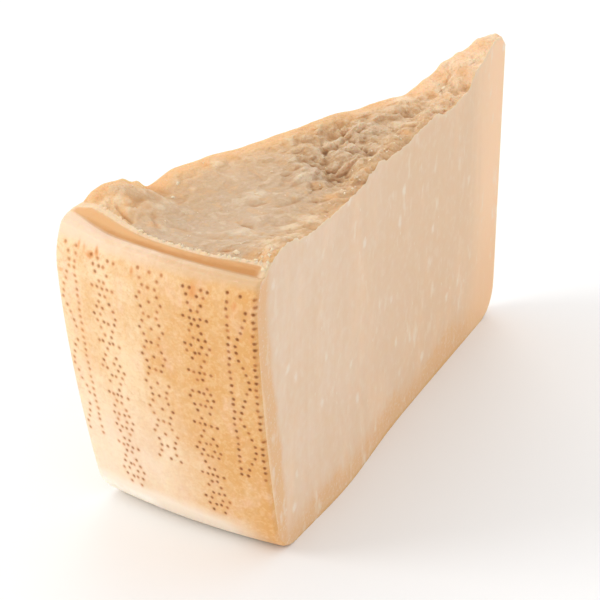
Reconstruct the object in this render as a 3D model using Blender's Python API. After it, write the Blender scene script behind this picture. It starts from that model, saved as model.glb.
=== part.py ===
"""A wedge of aged hard cheese: a slice of half a wheel, with the rind in front and the tip behind.

The wheel lay flat and was split through at half its height, so the wedge rests on the wheel's flat
side and its top is the rough split face. Metres, +Z up, with the origin under the middle.
"""

import math

import bmesh
import bpy
from mathutils import Matrix, Vector, noise

# Wheel and wedge. AXIS_Y is how far behind the wedge's middle the wheel's axis lies
WHEEL_RADIUS = 0.205
TIP_RADIUS = 0.008
SPLIT_HEIGHT = 0.098
HALF_ANGLE = math.radians(9.89)
AXIS_Y = 0.1061

# Side of the wheel: widest a little below the split, drawn in towards the flat, with a rounded edge below
SIDE_DRAW_IN = 0.0195
SIDE_POWER = 1.5
BASE_ROUNDING = 0.0095
RIM_DRAW_IN = 0.003
RIM_DRAW_START = 0.084
RIM_RADIUS = WHEEL_RADIUS - RIM_DRAW_IN

# Tip: blunt, leaning back a little towards the base, with rounded corners
TIP_LEAN = 0.003
TIP_TOP_ROUNDING = 0.004
TIP_BASE_ROUNDING = 0.010

# The right cut swells out low down: its radius on the wheel, length, height and how far it goes
SWELL_RADIUS = 0.140
SWELL_LENGTH = 0.030
SWELL_HEIGHT = 0.022
SWELL_REACH = 0.0021

# Rim of the split face: a smooth scored lip, then a sloping band, then the rough middle
LIP_INNER = 0.199
LIP_LEFT_RISE = 0.0024
LIP_SLOPE = 0.6
BAND_INNER = 0.1966
BAND_RISE = 0.0013
BAND_LEFT_RISE = 0.0015
BAND_RIGHT_RISE = 0.0008
BAND_CREST = -0.62
BAND_CREST_REACH = 0.28
BAND_END_FADE = 0.8
ROUGH_START = 0.0036

# Sections across the split face: radius, then height at the left edge, in the middle and at the right
SECTIONS = (
    (0.1936, 0.1029, 0.0992, 0.1006),
    (0.1880, 0.1038, 0.0983, 0.1020),
    (0.1805, 0.1030, 0.0968, 0.1010),
    (0.1730, 0.1004, 0.0962, 0.0988),
    (0.1660, 0.0970, 0.0960, 0.0973),
    (0.1560, 0.0991, 0.0960, 0.0968),
    (0.1430, 0.0983, 0.0964, 0.0954),
    (0.1230, 0.0962, 0.0968, 0.0957),
    (0.1140, 0.0956, 0.0960, 0.0972),
    (0.0980, 0.0946, 0.0950, 0.0946),
    (0.0850, 0.0941, 0.0952, 0.0944),
    (0.0700, 0.0920, 0.0938, 0.0942),
    (0.0520, 0.0909, 0.0914, 0.0912),
    (0.0400, 0.0926, 0.0922, 0.0908),
    (0.0270, 0.0960, 0.0960, 0.0958),
    (0.0150, 0.0972, 0.0984, 0.0986),
    (0.0080, 0.0974, 0.0982, 0.0975),
)

# Roughness of the split face: radius, distance to the right of the middle, reach and strength
SMOOTH_SLAB = (0.168, -0.003, 0.034, 0.94)
CRAG_PATCHES = (
    (0.118, 0.008, 0.022, 0.9),
    (0.096, -0.004, 0.018, 0.9),
    (0.060, 0.002, 0.014, 0.6),
    (0.183, -0.027, 0.010, 0.5),
    (0.150, 0.020, 0.014, 0.4),
)
# Hollows broken out of it: radius, distance to the right, length, breadth and depth
HOLLOWS = (
    (0.120, 0.0105, 0.0060, 0.0040, 0.0054),
    (0.116, 0.0030, 0.0055, 0.0045, 0.0048),
    (0.095, -0.0050, 0.0110, 0.0028, 0.0045),
    (0.102, 0.0080, 0.0060, 0.0030, 0.0029),
    (0.062, 0.0030, 0.0070, 0.0026, 0.0038),
    (0.163, 0.0180, 0.0040, 0.0040, 0.0024),
    (0.168, -0.0270, 0.0050, 0.0050, 0.0035),
)
# Crumbly crest just inside the right cut
CREST_HEIGHT = 0.0013
CREST_INSET = 0.0038
CREST_BREADTH = 0.0024
CREST_WAVE = 0.006
CREST_LEVEL = 0.8
CREST_UNEVENNESS = 0.5
# Chips and grains of the broken face: their size and relief, tilt, the slope between two and their warp
CHIP_SIZE = 0.0062
CHIP_RELIEF = 0.0020
GRAIN_SIZE = 0.0029
GRAIN_RELIEF = 0.00072
CHIP_TILT = 0.9
CHIP_SLOPE = 0.22
CHIP_SQUEEZE = 0.8
WARP_SCALE = 0.7
WARP_REACH = 0.35
WARP_SEED = 6
# Strength of the relief: usual, least, and how much of it the two cut edges lose, from where on
USUAL_ROUGHNESS = 0.38
CALM = 0.09
EDGE_CALM = 0.7
EDGE_CALM_START = 0.86

# Cells of the block before it is thinned out to the final mesh. Its levels lie closer near the base
ROWS = 194
COLUMNS = 56
LEVELS = 18
BASE_CROWDING = 0.75
KEPT_SHARE = 0.148

RIND_COLOUR = (0.93, 0.66, 0.33, 1.0)
PASTE_COLOUR = (0.76, 0.57, 0.41, 1.0)
SPLIT_COLOUR = (0.70, 0.50, 0.32, 1.0)


def blend(low, high, share):
    return low + (high - low) * share


def smooth_step(low, high, value):
    share = min(max((value - low) / (high - low), 0.0), 1.0)
    return share * share * (3.0 - 2.0 * share)


def fade(distance):
    """Bell curve: one at the centre and nearly nothing at twice the reach."""
    return math.exp(-distance * distance)


def corner_inset(height, rounding):
    """How far a rounded corner lies inside the sharp one, at this height from the corner."""
    if height >= rounding:
        return 0.0
    lift = rounding - height
    return rounding - math.sqrt(max(rounding * rounding - lift * lift, 0.0))


def side_radius(height):
    share = max(1.0 - height / SPLIT_HEIGHT, 0.0)
    drawn = WHEEL_RADIUS - SIDE_DRAW_IN * share**SIDE_POWER
    near_rim = max(height - RIM_DRAW_START, 0.0) / (SPLIT_HEIGHT - RIM_DRAW_START)
    return drawn - RIM_DRAW_IN * near_rim**2 - corner_inset(height, BASE_ROUNDING)


def tip_radius(height, top):
    lean = TIP_LEAN * max(1.0 - height / top, 0.0)
    rounding = corner_inset(height, TIP_BASE_ROUNDING) + corner_inset(top - height, TIP_TOP_ROUNDING)
    return TIP_RADIUS + lean + rounding


def three_way(left, middle, right, across):
    """Smooth curve through the heights at the left edge, in the middle and at the right edge."""
    side = left if across < 0.0 else right
    return blend(middle, side, smooth_step(0.0, 1.0, abs(across)))


def section_height(radius, across):
    if radius >= SECTIONS[0][0]:
        return three_way(*SECTIONS[0][1:], across)
    for outer, inner in zip(SECTIONS, SECTIONS[1:]):
        if radius >= inner[0]:
            share = smooth_step(inner[0], outer[0], radius)
            return blend(three_way(*inner[1:], across), three_way(*outer[1:], across), share)
    return three_way(*SECTIONS[-1][1:], across)


def cell_value(point, turn):
    """Steady pseudo-random number from -1 to 1 for one cell of the broken surface."""
    whole = math.sin(point.x * 12.9898 + point.y * 78.233 + turn * 37.719) * 4375.85453
    return (whole - math.floor(whole)) * 2.0 - 1.0


def chip_height(x, y, size, turn):
    """Broken facets: each cell has its own height and tilt, and meets the next in a short slope."""
    warp = noise.noise_vector(Vector((x / size * WARP_SCALE, y / size * WARP_SCALE, turn)))
    place = Vector((x / size, y / size * CHIP_SQUEEZE, turn * 7.0)) + warp * WARP_REACH
    distances, points = noise.voronoi(place)
    heights = []
    for point in points[:2]:
        away = place - point
        tilt = cell_value(point, 2.0) * away.x + cell_value(point, 3.0) * away.y
        heights.append(cell_value(point, 1.0) + tilt * CHIP_TILT)
    share = smooth_step(0.0, CHIP_SLOPE, distances[1] - distances[0])
    return blend((heights[0] + heights[1]) / 2.0, heights[0], share)


def roughness(radius, x):
    """How broken the split face is at a point, from calm to fully craggy."""
    strength = USUAL_ROUGHNESS
    for patch_radius, patch_x, reach, patch in CRAG_PATCHES:
        distance = math.hypot(radius - patch_radius, x - patch_x) / reach
        strength = max(strength, patch * fade(distance))
    slab_radius, slab_x, reach, calming = SMOOTH_SLAB
    distance = math.hypot((radius - slab_radius) * 0.75, (x - slab_x) * 1.5) / reach
    return max(strength * (1.0 - calming * fade(distance)), CALM)


def hollow_depth(radius, x):
    depth = 0.0
    for centre, centre_x, length, breadth, deep in HOLLOWS:
        distance = math.hypot((radius - centre) / length, (x - centre_x) / breadth)
        depth += deep * fade(distance)
    return depth


def crest_height(radius, across):
    from_cut = radius * math.sin(HALF_ANGLE * (1.0 - across))
    uneven = CREST_LEVEL + CREST_UNEVENNESS * noise.noise(Vector((radius / CREST_WAVE, 3.0, 0.0)))
    near_tip = smooth_step(0.02, 0.05, radius)
    return CREST_HEIGHT * uneven * near_tip * fade((from_cut - CREST_INSET) / CREST_BREADTH)


def rough_height(radius, x, across):
    strength = roughness(radius, x)
    chips = chip_height(x, radius, CHIP_SIZE, 1.0) * CHIP_RELIEF
    grains = chip_height(x, radius, GRAIN_SIZE, 4.0) * GRAIN_RELIEF
    edge_calm = 1.0 - EDGE_CALM * smooth_step(EDGE_CALM_START, 1.0, abs(across))
    broken = (chips + grains - hollow_depth(radius, x)) * edge_calm
    return section_height(radius, across) + crest_height(radius, across) + broken * strength


def lip_height(across):
    return SPLIT_HEIGHT + LIP_LEFT_RISE * smooth_step(0.45, 1.05, -across)


def band_rise(across):
    """The band is tallest left of the middle, and runs out to nothing at the left end."""
    rise = BAND_RISE + BAND_LEFT_RISE * fade((across - BAND_CREST) / BAND_CREST_REACH)
    rise += BAND_RIGHT_RISE * smooth_step(0.3, 0.8, across)
    return rise * (1.0 - BAND_END_FADE * smooth_step(0.8, 1.0, -across))


def split_height(radius, across):
    """Height of the split face: lip, band and rough middle, going in from the side."""
    lip = lip_height(across)
    if radius >= LIP_INNER:
        return blend(lip, SPLIT_HEIGHT, (radius - LIP_INNER) / (RIM_RADIUS - LIP_INNER) * LIP_SLOPE)
    share = min((LIP_INNER - radius) / (LIP_INNER - BAND_INNER), 1.0)
    ledge = lip + band_rise(across) * share
    if radius >= BAND_INNER:
        return ledge
    share = smooth_step(0.0, ROUGH_START, BAND_INNER - radius)
    x = radius * math.sin(HALF_ANGLE * across)
    return blend(ledge, rough_height(radius, x, across), share)


def swell(radius, across, height):
    """How far the right cut bulges out near its lower edge."""
    along = fade((radius - SWELL_RADIUS) / SWELL_LENGTH)
    return SWELL_REACH * along * fade(height / SWELL_HEIGHT) * smooth_step(0.0, 1.0, across)


def placed(block_point):
    """A point of the unit block, moved to its place on the wedge.

    The block's x runs from rind to tip, its y from the left cut to the right, its z from base to top.
    """
    inward, sideways, upward = block_point
    across = sideways * 2.0 - 1.0
    top = split_height(blend(RIM_RADIUS, TIP_RADIUS, inward), across)
    height = top * blend(upward * upward, upward, 1.0 - BASE_CROWDING * (1.0 - upward))
    outer = side_radius(height)
    radius = blend(outer, tip_radius(height, top), inward)
    angle = HALF_ANGLE * across + swell(radius, across, height) / radius
    return Vector((radius * math.sin(angle), AXIS_Y - radius * math.cos(angle), height))


def cut_into(mesh, axis, count):
    """Cuts every edge that runs along this axis of the block into equal pieces."""
    along = [edge for edge in mesh.edges if abs(edge.verts[0].co[axis] - edge.verts[1].co[axis]) > 1e-6]
    bmesh.ops.subdivide_edges(mesh, edges=along, cuts=count - 1, use_grid_fill=True)


def material(name, colour, roughness_value):
    made = bpy.data.materials.new(name)
    made.use_nodes = True
    shader = made.node_tree.nodes["Principled BSDF"]
    shader.inputs["Base Color"].default_value = colour
    shader.inputs["Roughness"].default_value = roughness_value
    shader.inputs["Metallic"].default_value = 0.0
    made.diffuse_color = colour
    return made


def wedge_mesh():
    mesh = bmesh.new()
    bmesh.ops.create_cube(mesh, size=1.0, matrix=Matrix.Translation((0.5, 0.5, 0.5)))
    for axis, count in enumerate((ROWS, COLUMNS, LEVELS)):
        cut_into(mesh, axis, count)
    for face in mesh.faces:
        middle = face.calc_center_median()
        on_rind = middle.x < 1e-6 or middle.z < 1e-6
        on_split = middle.z > 1.0 - 1e-6
        face.material_index = 0 if on_rind else 2 if on_split else 1
        face.smooth = True
    for vertex in mesh.verts:
        vertex.co = placed(vertex.co)
    # The move mirrors the block, so its faces are turned round to point out again
    bmesh.ops.reverse_faces(mesh, faces=mesh.faces)
    data = bpy.data.meshes.new("cheese_wedge")
    mesh.to_mesh(data)
    mesh.free()
    return data


def main():
    noise.seed_set(WARP_SEED)
    for item in list(bpy.data.objects):
        bpy.data.objects.remove(item)
    parts = bpy.data.collections.new("cheese")
    bpy.context.scene.collection.children.link(parts)
    wedge = bpy.data.objects.new("cheese_wedge", wedge_mesh())
    parts.objects.link(wedge)
    wedge.data.materials.append(material("rind", RIND_COLOUR, 0.45))
    wedge.data.materials.append(material("cut_paste", PASTE_COLOUR, 0.55))
    wedge.data.materials.append(material("split_paste", SPLIT_COLOUR, 0.7))
    wedge.data.set_sharp_from_angle(angle=math.radians(35.0))
    thinned = wedge.modifiers.new("thinned", "DECIMATE")
    thinned.ratio = KEPT_SHARE


main()
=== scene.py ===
"""Aged hard cheese, a wedge of half a wheel: visual model, stage and camera, made around its solid.

Run as a script. Metres, +Z up, the rind in front at -Y and the tip behind at +Y. The wedge is worked
out as a wheel is: by radius from the wheel's axis, by angle across the wedge, and by height.
"""

import math
import random

import bpy
import numpy as np
from bpy.props import FloatProperty, FloatVectorProperty, IntProperty, PointerProperty
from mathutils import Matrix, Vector, noise


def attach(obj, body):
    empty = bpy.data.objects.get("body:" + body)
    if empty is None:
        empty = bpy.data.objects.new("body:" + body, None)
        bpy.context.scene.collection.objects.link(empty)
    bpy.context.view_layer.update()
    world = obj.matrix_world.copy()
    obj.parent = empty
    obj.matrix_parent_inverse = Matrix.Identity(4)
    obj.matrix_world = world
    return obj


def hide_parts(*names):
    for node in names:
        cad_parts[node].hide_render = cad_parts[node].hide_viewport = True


bl_info = {
    "name": "Aged Cheese Wedge",
    "version": (1, 0, 0),
    "blender": (4, 5, 0),
    "location": "View3D > Sidebar > Cheese",
    "description": "Makes a wedge of aged hard cheese with its rind, crumbs, crystals and stage",
    "category": "Object",
}

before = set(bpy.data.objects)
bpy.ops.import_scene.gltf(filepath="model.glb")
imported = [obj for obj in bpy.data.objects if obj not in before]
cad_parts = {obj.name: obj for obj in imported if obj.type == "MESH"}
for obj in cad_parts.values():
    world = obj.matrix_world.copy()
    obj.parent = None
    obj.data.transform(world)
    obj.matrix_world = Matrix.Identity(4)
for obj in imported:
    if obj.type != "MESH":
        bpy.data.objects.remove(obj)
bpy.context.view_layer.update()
WEDGE_NODE = "cheese_wedge"

# Wheel and wedge. AXIS_Y is how far behind the wedge's middle the wheel's axis lies
WHEEL_RADIUS = 0.205
TIP_RADIUS = 0.008
SPLIT_HEIGHT = 0.098
HALF_ANGLE = math.radians(9.89)
AXIS_Y = 0.1061

# Side of the wheel: widest a little below the split, drawn in towards the flat, rounded below
SIDE_DRAW_IN = 0.0195
SIDE_POWER = 1.5
BASE_ROUNDING = 0.0095
RIM_DRAW_IN = 0.003
RIM_DRAW_START = 0.084
RIM_RADIUS = WHEEL_RADIUS - RIM_DRAW_IN

# Tip: blunt, leaning back a little towards the base, with rounded corners
TIP_LEAN = 0.003
TIP_TOP_ROUNDING = 0.004
TIP_BASE_ROUNDING = 0.010

# The right cut swells out low down: its radius on the wheel, length, height and how far it goes
SWELL_RADIUS = 0.140
SWELL_LENGTH = 0.030
SWELL_HEIGHT = 0.022
SWELL_REACH = 0.0021

# Rim of the split face: a smooth scored lip, a sloping band, a narrow ledge, then the rough middle.
# Places across the wedge run from -1 at the left cut to 1 at the right one
LIP_INNER = 0.199
LIP_LEFT_RISE = 0.0024
LIP_SLOPE = 0.6
SOFT_EDGE_BREADTH = 0.0012
SOFT_EDGE_DROP = 0.0009
BAND_INNER = 0.1966
BAND_RISE = 0.0013
BAND_LEFT_RISE = 0.0015
BAND_RIGHT_RISE = 0.0008
BAND_CREST = -0.62
BAND_CREST_REACH = 0.28
BAND_END_FADE = 0.8
BAND_LEFT_END = -0.955
BAND_RIGHT_END = 0.935
BAND_END_BLUR = 0.06
LEDGE_BREADTH = 0.0005
LEDGE_LEFT_EXTRA = 0.0009
LEDGE_SLOPE = 0.1
LEDGE_CRUMBS = 0.0009
LIP_BLUR = 0.0005
BAND_BLUR = 0.0007
LEDGE_BLUR = 0.0010
ROUGH_START = 0.00288

# Sections across the split face: radius, then height at the left edge, in the middle and at the right
SECTIONS = (
    (0.1936, 0.1029, 0.0992, 0.1006),
    (0.1880, 0.1038, 0.0983, 0.1020),
    (0.1805, 0.1030, 0.0968, 0.1010),
    (0.1730, 0.1004, 0.0962, 0.0988),
    (0.1660, 0.0970, 0.0960, 0.0973),
    (0.1560, 0.0991, 0.0960, 0.0968),
    (0.1430, 0.0983, 0.0964, 0.0954),
    (0.1230, 0.0962, 0.0968, 0.0957),
    (0.1140, 0.0956, 0.0960, 0.0972),
    (0.0980, 0.0946, 0.0950, 0.0946),
    (0.0850, 0.0941, 0.0952, 0.0944),
    (0.0700, 0.0920, 0.0938, 0.0942),
    (0.0520, 0.0909, 0.0914, 0.0912),
    (0.0400, 0.0926, 0.0922, 0.0908),
    (0.0270, 0.0960, 0.0960, 0.0958),
    (0.0150, 0.0972, 0.0984, 0.0986),
    (0.0080, 0.0974, 0.0982, 0.0975),
)

# Roughness of the split face: radius, distance to the right of the middle, reach and strength
SMOOTH_SLAB = (0.168, -0.003, 0.034, 0.94)
CRAG_PATCHES = (
    (0.118, 0.008, 0.022, 0.9),
    (0.096, -0.004, 0.018, 0.9),
    (0.060, 0.002, 0.014, 0.6),
    (0.183, -0.027, 0.010, 0.5),
    (0.150, 0.020, 0.014, 0.4),
)
# Hollows broken out of it: radius, distance to the right, length, breadth and depth
HOLLOWS = (
    (0.120, 0.0105, 0.0060, 0.0040, 0.0054),
    (0.116, 0.0030, 0.0055, 0.0045, 0.0048),
    (0.095, -0.0050, 0.0110, 0.0028, 0.0045),
    (0.102, 0.0080, 0.0060, 0.0030, 0.0029),
    (0.062, 0.0030, 0.0070, 0.0026, 0.0038),
    (0.163, 0.0180, 0.0040, 0.0040, 0.0024),
    (0.168, -0.0270, 0.0050, 0.0050, 0.0035),
)

# Crest along the right edge, and how its height varies along the way
CREST_HEIGHT = 0.0006
CREST_INSET = 0.0038
CREST_BREADTH = 0.0024
CREST_WAVE = 0.006
CREST_LEVEL = 0.8
CREST_UNEVENNESS = 0.5

# Broken facets: chips, and smaller grains on them
CHIP_SIZE = 0.0062
CHIP_RELIEF = 0.0020
GRAIN_SIZE = 0.0029
GRAIN_RELIEF = 0.00072
CHIP_TILT = 0.9
CHIP_SLOPE = 0.22
CHIP_SQUEEZE = 0.8
WARP_SEED = 6
WARP_SCALE = 0.7
WARP_REACH = 0.35
USUAL_ROUGHNESS = 0.38
CALM = 0.09

# Calmer places, by the share of relief that they lose: both edges, the left edge, the hill at its near
# end, and the tip
EDGE_CALM = 0.7
EDGE_CALM_START = 0.86
LEFT_EDGE_CALM = 0.8
LEFT_EDGE_BREADTH = 0.0065
LEFT_EDGE_CORE = 0.0025
HILL_CALM = 0.35
HILL_RADIUS = 0.187
HILL_INSET = 0.006
HILL_REACH = 0.012
TIP_CALM = 0.55
TIP_CALM_START = 0.040
TIP_CALM_FULL = 0.024

# Cells of the visual mesh: fine rows near the rim, and levels that are finer on the rind and lie closer
# together near the base
FINE_ROWS = 36
FINE_DEPTH = 0.0135
ROWS = 330
COLUMNS = 140
SIDE_LEVELS = 24
RIND_CUTS = 7
BASE_CROWDING = 0.75
TINY = 1e-5

# Materials of the wedge, in their order
RIND, CUT, SPLIT = range(3)

# Thin places that light shines through: the left edge, with a bright core and a wide fringe, by reach
# and strength; then the hill and the near right corner, by radius, inset, half length, half breadth and
# strength
EDGE_GLOWS = ((0.0042, 1.0), (0.014, 0.45))
HILL_GLOW = (0.188, 0.007, 0.010, 0.012, 0.85)
CORNER_GLOW = (0.1925, 0.0, 0.0055, 0.0065, 0.75)

# Yellower paste, beside the right edge and from the crags to the tip
WARM_EDGE_REACH = 0.0075
WARM_CRAGS_START = 0.13
WARM_CRAGS_FADE = 0.05
WARM_CRAGS = 0.15

# Ridges and hollows stand out from the split face levelled out this many times, with these weights. The
# split face's material paints highlight on the ridges and shade in the hollows from them
CAVITY_ROUNDS = ((60, 1.0), (10, 1.5))

# Lumps, ridges and creases that only the visual mesh carries: radius, distance to the right, half
# length, half breadth, turn in degrees from the radius, and height
DETAILS = (
    (0.1025, 0.0113, 0.0080, 0.0016, 28, -0.0020),
    (0.1069, 0.0001, 0.0056, 0.0014, 16, -0.0015),
    (0.0973, 0.0000, 0.0040, 0.0014, 4, -0.0012),
    (0.1178, 0.0049, 0.0080, 0.0013, 95, -0.0016),
    (0.1149, 0.0113, 0.0042, 0.0010, 166, -0.0010),
    (0.1214, 0.0121, 0.0036, 0.0014, 153, -0.0015),
    (0.1392, 0.0173, 0.0044, 0.0012, 148, -0.0006),
    (0.1470, 0.0114, 0.0044, 0.0015, 168, -0.0006),
    (0.1520, 0.0045, 0.0028, 0.0012, 149, -0.0005),
    (0.1678, 0.0099, 0.0050, 0.0010, 62, -0.0007),
    (0.1308, -0.0002, 0.0040, 0.0013, 177, -0.0006),
    (0.0654, 0.0032, 0.0070, 0.0012, 133, -0.0015),
    (0.0791, 0.0086, 0.0034, 0.0010, 153, -0.0008),
    (0.1726, 0.0213, 0.0034, 0.0011, 169, -0.0006),
    (0.1909, 0.0180, 0.0026, 0.0008, 138, -0.0009),
    (0.1822, -0.0196, 0.0080, 0.0020, 178, -0.0010),
    (0.1857, -0.0111, 0.0060, 0.0013, 63, -0.0006),
    (0.1920, -0.0180, 0.0060, 0.0012, 57, -0.0009),
    (0.1904, -0.0265, 0.0030, 0.0010, 168, -0.0005),
    (0.1928, -0.0284, 0.0030, 0.0011, 16, -0.0006),
    (0.0933, -0.0088, 0.0040, 0.0013, 7, -0.0009),
    (0.0898, -0.0045, 0.0034, 0.0012, 102, -0.0008),
    (0.0346, -0.0010, 0.0050, 0.0007, 37, -0.0005),
    (0.0340, 0.0010, 0.0050, 0.0007, 34, -0.0005),
    (0.1037, -0.0037, 0.0075, 0.0032, 12, 0.0014),
    (0.1067, 0.0075, 0.0060, 0.0036, 175, 0.0012),
    (0.0973, 0.0136, 0.0075, 0.0040, 8, 0.0009),
    (0.0581, -0.0026, 0.0052, 0.0036, 164, 0.0008),
    (0.1189, 0.0054, 0.0022, 0.0010, 166, 0.0010),
    (0.1330, 0.0051, 0.0034, 0.0014, 159, 0.0007),
    (0.1604, 0.0102, 0.0030, 0.0018, 152, 0.0004),
    (0.1736, 0.0100, 0.0056, 0.0030, 170, 0.0006),
    (0.1235, 0.0010, 0.0042, 0.0024, 5, 0.0007),
    (0.1852, -0.0298, 0.0030, 0.0022, 173, 0.0005),
    (0.1815, -0.0266, 0.0030, 0.0022, 168, 0.0005),
    (0.0752, 0.0002, 0.0095, 0.0009, 170, 0.0009),
    (0.1133, 0.0144, 0.0044, 0.0010, 167, 0.0007),
    (0.1337, -0.0015, 0.0090, 0.0010, 169, 0.0005),
    (0.1310, 0.0062, 0.0050, 0.0010, 168, 0.0005),
    (0.1395, -0.0007, 0.0120, 0.0011, 167, 0.0004),
    (0.1907, 0.0304, 0.0024, 0.0012, 63, 0.0008),
    (0.1832, 0.0212, 0.0030, 0.0010, 145, 0.0006),
    (0.0480, -0.0080, 0.0060, 0.0040, 0, -0.0012),
    (0.0330, -0.0050, 0.0020, 0.0030, 0, 0.0008),
    (0.0240, -0.0036, 0.0016, 0.0030, 0, 0.0007),
    (0.0150, -0.0012, 0.0026, 0.0030, 0, 0.0011),
    (0.0105, 0.0006, 0.0060, 0.0050, 0, 0.0010),
)
# Spots of clear amber paste with a painted glow, as where light shines through thin paste, and of pale
# paste: radius, distance to the right and reach
AMBER_GLOW_SPOTS = (
    (0.1916, -0.0287, 0.0026),
    (0.1859, -0.0296, 0.0022),
    (0.1916, -0.0191, 0.0026),
    (0.1934, -0.0151, 0.0020),
    (0.1837, -0.0215, 0.0024),
    (0.1881, -0.0095, 0.0026),
    (0.1467, -0.0211, 0.0030),
    (0.1360, -0.0190, 0.0030),
    (0.1908, 0.0299, 0.0024),
    (0.1911, 0.0182, 0.0016),
    (0.1337, 0.0111, 0.0024),
    (0.1385, 0.0183, 0.0028),
    (0.0861, 0.0128, 0.0024),
    (0.1200, 0.0181, 0.0022),
    (0.0675, -0.0110, 0.0050),
    (0.0499, -0.0010, 0.0016),
    (0.0600, 0.0001, 0.0018),
    (0.0491, 0.0050, 0.0016),
    (0.0348, 0.0022, 0.0026),
    (0.0221, 0.0006, 0.0032),
    (0.0394, -0.0023, 0.0026),
    (0.0834, -0.0099, 0.0040),
    (0.1913, 0.0252, 0.0024),
)
# Pale spots; on the hill near the left end of the rim they are painted highlights
PALE_SPOTS = (
    (0.1945, -0.0304, 0.0024),
    (0.1898, -0.0261, 0.0022),
    (0.1867, -0.0237, 0.0022),
    (0.1704, -0.0164, 0.0026),
    (0.1778, -0.0152, 0.0020),
    (0.1598, -0.0158, 0.0014),
    (0.1431, -0.0195, 0.0022),
    (0.1746, 0.0130, 0.0046),
    (0.1496, 0.0004, 0.0034),
    (0.1322, 0.0056, 0.0028),
    (0.1044, -0.0038, 0.0040),
    (0.1553, 0.0207, 0.0036),
    (0.1033, 0.0067, 0.0050),
    (0.0805, 0.0063, 0.0030),
    (0.0576, -0.0062, 0.0040),
    (0.0284, 0.0028, 0.0044),
    (0.0356, -0.0030, 0.0030),
    (0.0130, 0.0014, 0.0036),
    (0.0778, 0.0071, 0.0040),
    (0.0624, 0.0049, 0.0044),
    (0.0931, -0.0042, 0.0024),
    (0.1641, 0.0207, 0.0030),
    (0.1828, 0.0246, 0.0030),
    (0.1764, 0.0268, 0.0030),
    (0.1700, 0.0262, 0.0024),
    (0.1868, 0.0296, 0.0028),
    (0.1580, 0.0244, 0.0024),
    (0.0900, -0.0010, 0.0044),
    (0.0846, 0.0040, 0.0036),
)

# How uneven the outlines of the details are, and where the details fade out: behind the band and
# towards the edges, but not at the tip
WANDER_SIZE = 0.0040
WANDER_REACH = 0.0022
DETAIL_INSET = 0.0015
DETAIL_FADE = 0.002
EDGE_FADE = 0.1
EDGE_DETAILS = 0.2
TIP_DETAILS = 0.062
TIP_DETAILS_FADE = 0.008

# Fine relief that only the visual mesh carries: lumps, by size and height, crumbs along the rim, and
# flakes. It grows with the roughness of its place. The grain runs to the tip, drifting to the right
GRAIN_DRIFT = math.radians(12.0)
LUMP_SIZES = ((0.0058, 0.00120), (0.0029, 0.00062), (0.0015, 0.00030))
LUMP_SQUEEZE = 0.75
LUMP_WARP_SCALE = 0.8
LUMP_CREASE = 0.4
FINE_START = 0.14
FINE_GAIN = 1.15
FINE_LEAST = 0.04
RIGHT_EDGE_EXTRA = 0.18
RIM_CRUMB_SIZE = 0.0013
RIM_CRUMB_RELIEF = 0.0007
RIM_CRUMB_START = 0.0006
FLAKE_LENGTH = 0.0085
FLAKE_BREADTH = 0.0013
FLAKE_RELIEF = 0.00030
FLAKE_PATCHES = ((0.135, 0.002, 0.020, 1.0), (0.172, 0.004, 0.018, 0.25), (0.075, 0.0, 0.014, 0.7))
USUAL_FLAKES = 0.12
CUT_EDGE_ROUNDING = 0.0013

# Pin marks on the rind: dotted running ornaments in upright columns. Distance across, lowest height,
# ornament and how strong the marks are
MARK_COLUMNS = (
    (-0.0312, 0.024, "wave", 0.55),
    (-0.0168, 0.011, "lozenge", 0.70),
    (0.0001, 0.024, "rope", 0.78),
    (0.0157, 0.010, "lozenge", 0.95),
    (0.0303, 0.026, "wave", 1.0),
)
MARK_TOP = 0.0935
MARK_PITCH = 0.00235
MARK_HALF_WIDTH = 0.0041
MARK_REACH = 1.1
MARK_SHIFT = 0.0010
MARK_SCATTER = 0.00016
MARK_SEED = 11
MISSED_MARKS = 0.05
LEAST_MARK = 0.45

# Stains on the rind: distance across, height, half width, half height and strength
STAINS = (
    (-0.0215, 0.0925, 0.0022, 0.0016, 1.0),
    (-0.0192, 0.0938, 0.0010, 0.0024, 1.0),
    (-0.0240, 0.0940, 0.0008, 0.0022, 0.8),
    (-0.0262, 0.0945, 0.0008, 0.0024, 0.8),
    (-0.0315, 0.0935, 0.0012, 0.0018, 0.5),
    (-0.0060, 0.0920, 0.0008, 0.0022, 0.9),
    (0.0150, 0.0915, 0.0018, 0.0030, 0.9),
    (0.0285, 0.0900, 0.0012, 0.0022, 0.8),
    (0.0335, 0.0800, 0.0010, 0.0050, 0.6),
    (-0.0335, 0.0840, 0.0026, 0.0014, 0.7),
    (0.0100, 0.0560, 0.0012, 0.0014, 0.5),
    (-0.0150, 0.0700, 0.0022, 0.0010, 0.5),
    (-0.0120, 0.0330, 0.0026, 0.0008, 0.4),
)

# Pale lumps at the broken corner of the rim: radius, distance to the right and size
CORNER_CRUMBS = (
    (0.1968, 0.0326, 0.0010),
    (0.1950, 0.0328, 0.0009),
    (0.1938, 0.0321, 0.0008),
    (0.1910, 0.0312, 0.0009),
    (0.1922, 0.0296, 0.0006),
    (0.1890, 0.0305, 0.0008),
)

# Crystals that stand out of the split face: radius, distance to the right and size
GLINTS = (
    (0.1189, -0.0040, 0.00065),
    (0.1337, 0.0053, 0.00075),
    (0.1343, -0.0045, 0.00050),
    (0.1313, 0.0211, 0.00050),
    (0.0845, 0.0082, 0.00085),
    (0.0447, 0.0006, 0.00095),
    (0.1611, -0.0206, 0.00075),
    (0.1907, 0.0208, 0.00110),
    (0.1667, -0.0183, 0.00080),
    (0.1947, -0.0090, 0.00070),
    (0.1491, 0.0002, 0.00060),
)

# Crystals strewn over the split face, up to this share of the way to the cuts
CRYSTAL_SEED = 5
CRYSTAL_SIZES = (0.0002, 0.00045)
CRYSTAL_RADII = (0.02, 0.190)
CRYSTAL_SPREAD = 0.93

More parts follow.
